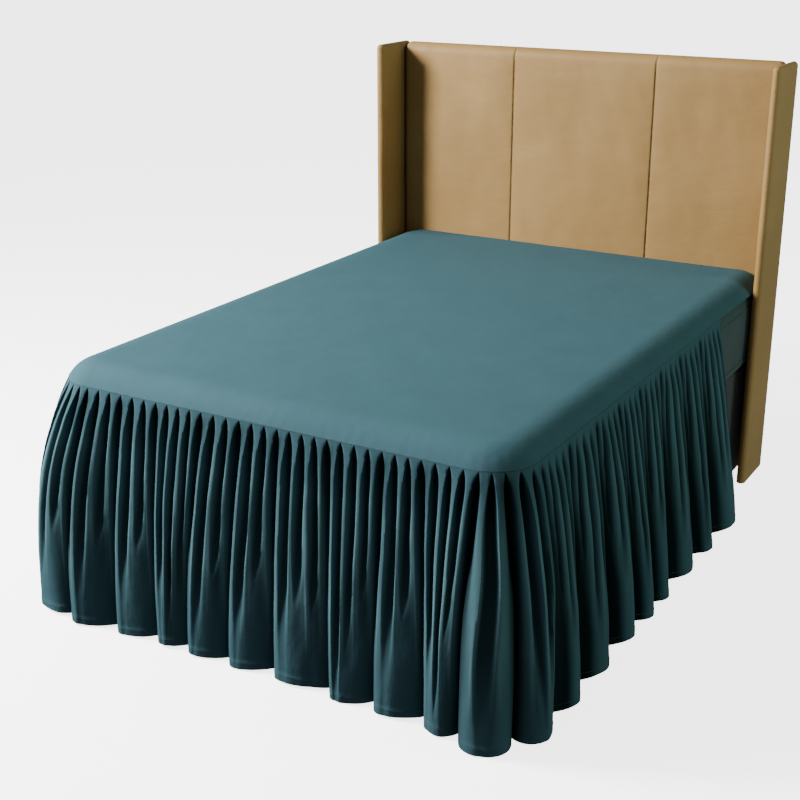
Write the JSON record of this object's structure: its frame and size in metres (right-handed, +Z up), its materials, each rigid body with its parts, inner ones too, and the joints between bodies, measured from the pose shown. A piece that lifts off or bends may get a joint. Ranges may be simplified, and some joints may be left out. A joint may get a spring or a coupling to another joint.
{
  "type": "gathered bed skirt on a bed with mattress and headboard",
  "caption": "Bedspread-style bed skirt with a smooth top and a deep gathered skirt to the floor, on a plain bed with a winged headboard.",
  "frame": {"origin": "middle of the bed base's width and of the mattress's length, on the base's underside at floor height", "axes": "+X across the bed, +Y from the foot to the headboard, +Z up"},
  "size_m": [1.6022, 2.1056, 1.39],
  "materials": {
    "teal_cloth": "brushed plain weave, soft sheen",
    "mattress_cover": "matt woven cover",
    "base_cover": "matt dark cover",
    "tan_leather": "satin fine grain"
  },
  "bodies": {
    "root": {"top_panel": "teal_cloth", "skirt_foot": "teal_cloth", "skirt_right": "teal_cloth", "skirt_left": "teal_cloth", "mattress": "mattress_cover", "bed_base": "base_cover", "headboard_panel": "tan_leather", "headboard_wing_left": "tan_leather", "headboard_wing_right": "tan_leather"}
  },
  "joints": []
}
